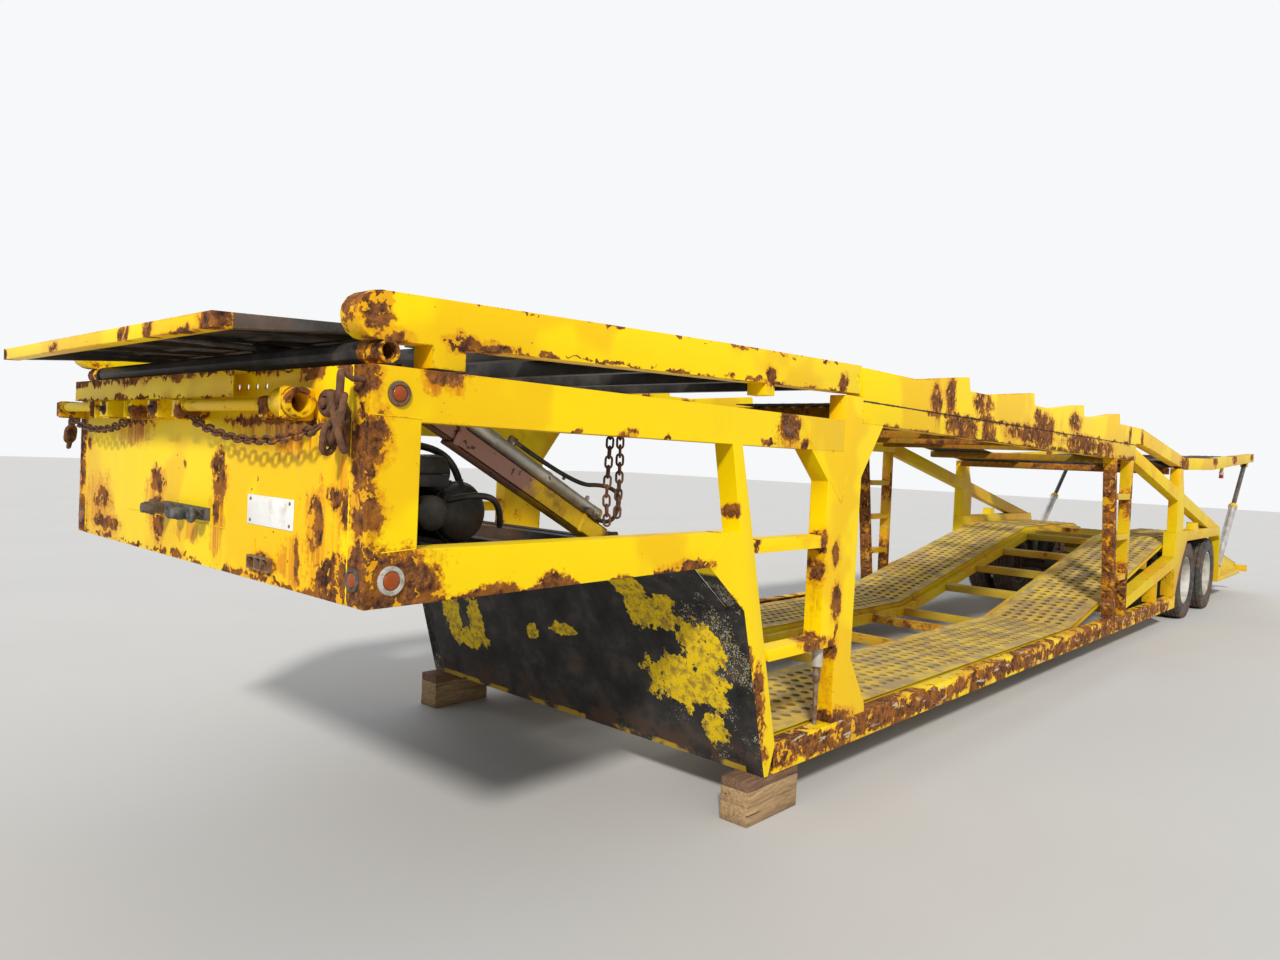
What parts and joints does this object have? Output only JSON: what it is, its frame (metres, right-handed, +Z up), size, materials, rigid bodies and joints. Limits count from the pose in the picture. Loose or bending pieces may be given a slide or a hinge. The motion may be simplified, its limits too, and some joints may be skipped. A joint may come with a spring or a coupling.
{
  "type": "car transporter semi-trailer",
  "caption": "Two-level car transporter semi-trailer with gooseneck, tilting front and rear decks, sliding head rack, slotted runways and twin-tyred tandem axles.",
  "frame": {"origin": "on the ground under the middle of the overall length and width", "axes": "+X forwards to the nose, +Y to the trailer's left, +Z up"},
  "size_m": [15.55, 2.618, 2.245],
  "materials": {
    "yellow_paint": "weathered yellow enamel with rust",
    "black_paint": "worn black paint over yellow",
    "dark_steel": "dark oily steel with rust",
    "bare_steel": "machined steel",
    "silver_paint": "silver painted cylinder barrels",
    "white_paint": "white wheel discs, dusty",
    "tyre_rubber": "dusty tyre rubber",
    "lamp_amber": "amber lens",
    "rusty_chain": "rusty chain",
    "timber": "weathered sawn timber"
  },
  "bodies": {
    "trailer": {"air_gear": "black_paint", "axles": "black_paint", "bay_cylinders": "silver_paint", "bulkhead": "black_paint", "chains": "rusty_chain", "cross_members": "yellow_paint", "fenders": "yellow_paint", "gooseneck_floor": "black_paint", "gooseneck_side_left": "yellow_paint", "gooseneck_side_right": "yellow_paint", "inner_beams": "yellow_paint", "kingpin": "bare_steel", "ladders": "yellow_paint", "lamps": "lamp_amber", "lower_runways": "yellow_paint", "middle_deck_floor": "dark_steel", "middle_deck_members": "dark_steel", "nose_couplings": "dark_steel", "nose_wall": "yellow_paint", "rear_frames": "yellow_paint", "sills": "yellow_paint", "suspension": "black_paint", "tail_frame": "yellow_paint", "tie_bars": "yellow_paint", "timber_blocks": "timber", "upper_rails": "yellow_paint", "well_post_left": "yellow_paint", "well_post_right": "yellow_paint"},
    "front_deck": {"front_deck_frame": "yellow_paint", "front_deck_floor": "dark_steel"},
    "head_rack": {"head_rack": "yellow_paint"},
    "lift_legs": {"lift_cylinders": "silver_paint", "hoses": "tyre_rubber"},
    "lift_rods": {"lift_rods": "bare_steel"},
    "rear_deck": {"rear_deck_frame": "yellow_paint", "rear_deck_floor": "dark_steel"},
    "rear_cylinders": {"rear_cylinders": "silver_paint"},
    "rear_rods": {"rear_rods": "bare_steel"},
    "wheels_front_left": {"tyres_front_left": "tyre_rubber", "rims_front_left": "white_paint"},
    "wheels_front_right": {"tyres_front_right": "tyre_rubber", "rims_front_right": "white_paint"},
    "wheels_rear_left": {"tyres_rear_left": "tyre_rubber", "rims_rear_left": "white_paint"},
    "wheels_rear_right": {"tyres_rear_right": "tyre_rubber", "rims_rear_right": "white_paint"}
  },
  "joints": [
    {"name": "front_deck_tilt", "type": "hinge", "parent": "trailer", "child": "front_deck", "pos_m": [4.655, 0, 2.1], "axis": [0, -1, 0], "range_deg": [0, 12]},
    {"name": "head_rack_slide", "type": "slide", "parent": "front_deck", "child": "head_rack", "axis": [1, 0, 0], "range_m": [-0.2, 0.12]},
    {"name": "lift_leg_swing", "type": "hinge", "parent": "trailer", "child": "lift_legs", "pos_m": [6.145, 0, 1.305], "axis": [0, -1, 0], "range_deg": [0, 18.09]},
    {"name": "lift_rod_slide", "type": "slide", "parent": "lift_legs", "child": "lift_rods", "axis": [0.8864, 0, 0.463], "range_m": [0, 0.3201]},
    {"name": "rear_deck_tilt", "type": "hinge", "parent": "trailer", "child": "rear_deck", "pos_m": [-3.025, 0, 1.86], "axis": [0, -1, 0], "range_deg": [0, 15]},
    {"name": "rear_cylinder_swing", "type": "hinge", "parent": "trailer", "child": "rear_cylinders", "pos_m": [-5.605, 0, 0.47], "axis": [0, -1, 0], "range_deg": [0, 27.93]},
    {"name": "rear_rod_slide", "type": "slide", "parent": "rear_cylinders", "child": "rear_rods", "axis": [-0.7664, 0, 0.6423], "range_m": [-0.6259, 0]},
    {"name": "wheels_front_left_roll", "type": "hinge", "parent": "trailer", "child": "wheels_front_left", "pos_m": [-3.665, 0, 0.465], "axis": [0, 1, 0], "continuous": true},
    {"name": "wheels_front_right_roll", "type": "hinge", "parent": "trailer", "child": "wheels_front_right", "pos_m": [-3.665, 0, 0.465], "axis": [0, 1, 0], "continuous": true},
    {"name": "wheels_rear_left_roll", "type": "hinge", "parent": "trailer", "child": "wheels_rear_left", "pos_m": [-4.905, 0, 0.465], "axis": [0, 1, 0], "continuous": true},
    {"name": "wheels_rear_right_roll", "type": "hinge", "parent": "trailer", "child": "wheels_rear_right", "pos_m": [-4.905, 0, 0.465], "axis": [0, 1, 0], "continuous": true}
  ],
  "couplings": [
    {"joint": "lift_leg_swing", "follows": "front_deck_tilt", "ratio": 1.5064},
    {"joint": "lift_rod_slide", "follows": "front_deck_tilt", "m_per_rad": 1.5262},
    {"joint": "rear_cylinder_swing", "follows": "rear_deck_tilt", "ratio": 1.861},
    {"joint": "rear_rod_slide", "follows": "rear_deck_tilt", "m_per_rad": -2.3889}
  ]
}
